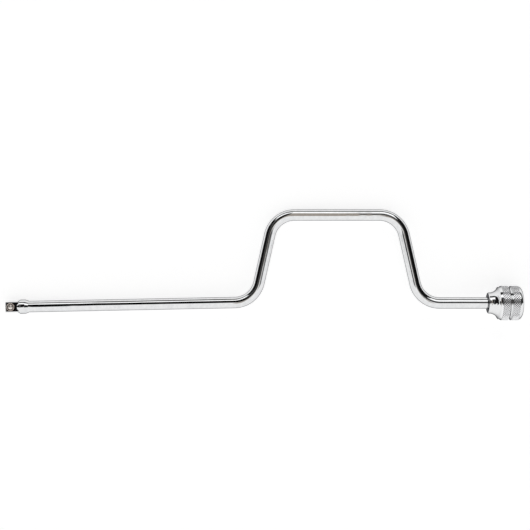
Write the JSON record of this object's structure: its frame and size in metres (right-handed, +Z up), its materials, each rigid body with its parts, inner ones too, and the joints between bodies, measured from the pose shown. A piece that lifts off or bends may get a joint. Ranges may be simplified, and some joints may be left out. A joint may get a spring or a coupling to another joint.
{
  "type": "speed brace",
  "caption": "Crank-shaped hand brace for sockets: a bent chromed rod with a male square and ball detent, and a knurled palm knob that spins freely.",
  "frame": {"origin": "under the middle of the tool's box, on the bench that it lies on", "axes": "+X along the tool from the drive square to the knob, +Y from the grip's axis towards the crank bar, +Z up from the bench, on the detent ball's side"},
  "size_m": [0.4706, 0.1008, 0.0318],
  "materials": {
    "chrome": "polished bright chrome plate on steel",
    "knurled_chrome": "bright chrome plate over a diamond knurl",
    "ball_steel": "ground bearing steel",
    "plain_steel": "plain steel, lightly oiled",
    "bronze": "sintered bronze, oiled"
  },
  "bodies": {
    "crank": {"crank_rod": "chrome", "detent_spring": "plain_steel", "front_thrust_washer": "plain_steel", "rear_thrust_washer": "plain_steel", "retaining_ring": "plain_steel"},
    "ball": {"detent_ball": "ball_steel"},
    "knob": {"grip_knob": "knurled_chrome", "front_bush": "bronze", "rear_bush": "bronze", "palm_cap": "chrome"}
  },
  "joints": [
    {"name": "knob_spin", "type": "hinge", "parent": "crank", "child": "knob", "pos_m": [0.20409, -0.0347, 0.01547], "axis": [0.9998, 0.0009, 0.0217], "continuous": true},
    {"name": "ball_press", "type": "slide", "parent": "crank", "child": "ball", "axis": [0.0217, -0.0796, -0.9966], "range_m": [0, 0.00118], "stiffness_N_per_m": 4000, "springref_m": -0.0006, "deforming": ["detent_spring"]}
  ]
}
